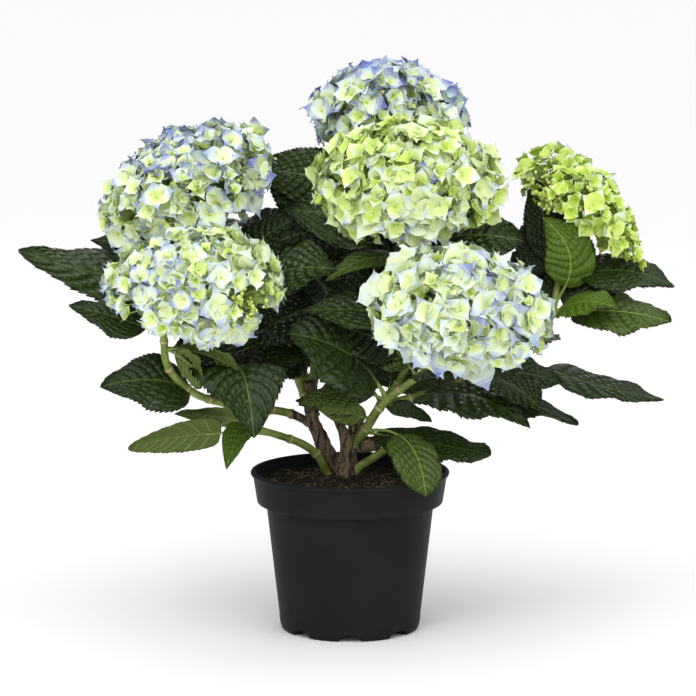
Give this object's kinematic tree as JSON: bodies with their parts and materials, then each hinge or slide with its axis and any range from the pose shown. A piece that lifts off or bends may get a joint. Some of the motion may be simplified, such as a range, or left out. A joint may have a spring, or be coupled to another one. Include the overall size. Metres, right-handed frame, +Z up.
{
  "type": "potted mophead hydrangea shrub",
  "caption": "Leafy garden shrub with domed blue and lime flower heads on woody and green stems, rooted in a round black nursery pot with a stepped rim.",
  "frame": {"origin": "centre of the flat underside of the pot, on the surface that it stands on", "axes": "+Z up, +X along the widest spread of the crown, -Y the side that the lowest flower heads lean towards"},
  "size_m": [0.6192, 0.4103, 0.5372],
  "materials": {
    "pot_plastic": "satin",
    "peat": "matte",
    "bark": "matte",
    "green_stem": "satin",
    "leaf": "satin",
    "florets_blue": "matte",
    "florets_lime": "matte",
    "florets_cream": "matte"
  },
  "bodies": {
    "root": {"pot": "pot_plastic", "root_ball": "peat", "head_top": "florets_blue", "head_centre": "florets_lime", "head_upper_left": "florets_cream", "head_lower_left": "florets_cream", "head_lower_right": "florets_cream", "head_far_right": "florets_lime", "head_back_left": "florets_lime", "head_back_right": "florets_cream", "trunk_left": "bark", "trunk_centre": "bark", "stub_right": "green_stem", "stem_lower_left": "green_stem", "stem_upper_left": "green_stem", "stem_top": "green_stem", "shoot_right": "green_stem", "stem_centre": "green_stem", "stem_far_right": "green_stem", "shoot_left": "green_stem", "stem_back_left": "green_stem", "stem_back_right": "green_stem", "leaves_far_left": "leaf", "leaves_left_middle": "leaf", "leaves_left": "leaf", "leaves_low_left": "leaf", "leaf_folded_left": "leaf", "leaves_front_left": "leaf", "leaves_middle": "leaf", "leaves_upper": "leaf", "leaves_under_centre": "leaf", "leaves_centre": "leaf", "leaves_front_centre": "leaf", "leaves_mid_right": "leaf", "leaf_pale_centre": "leaf", "leaves_over_rim": "leaf", "leaves_right_low": "leaf", "leaves_far_low": "leaf", "leaves_right_head": "leaf", "leaves_far_right": "leaf", "leaves_back_left": "leaf", "leaves_back_right": "leaf", "leaves_back_top": "leaf", "leaves_back_upper_left": "leaf"}
  },
  "joints": []
}
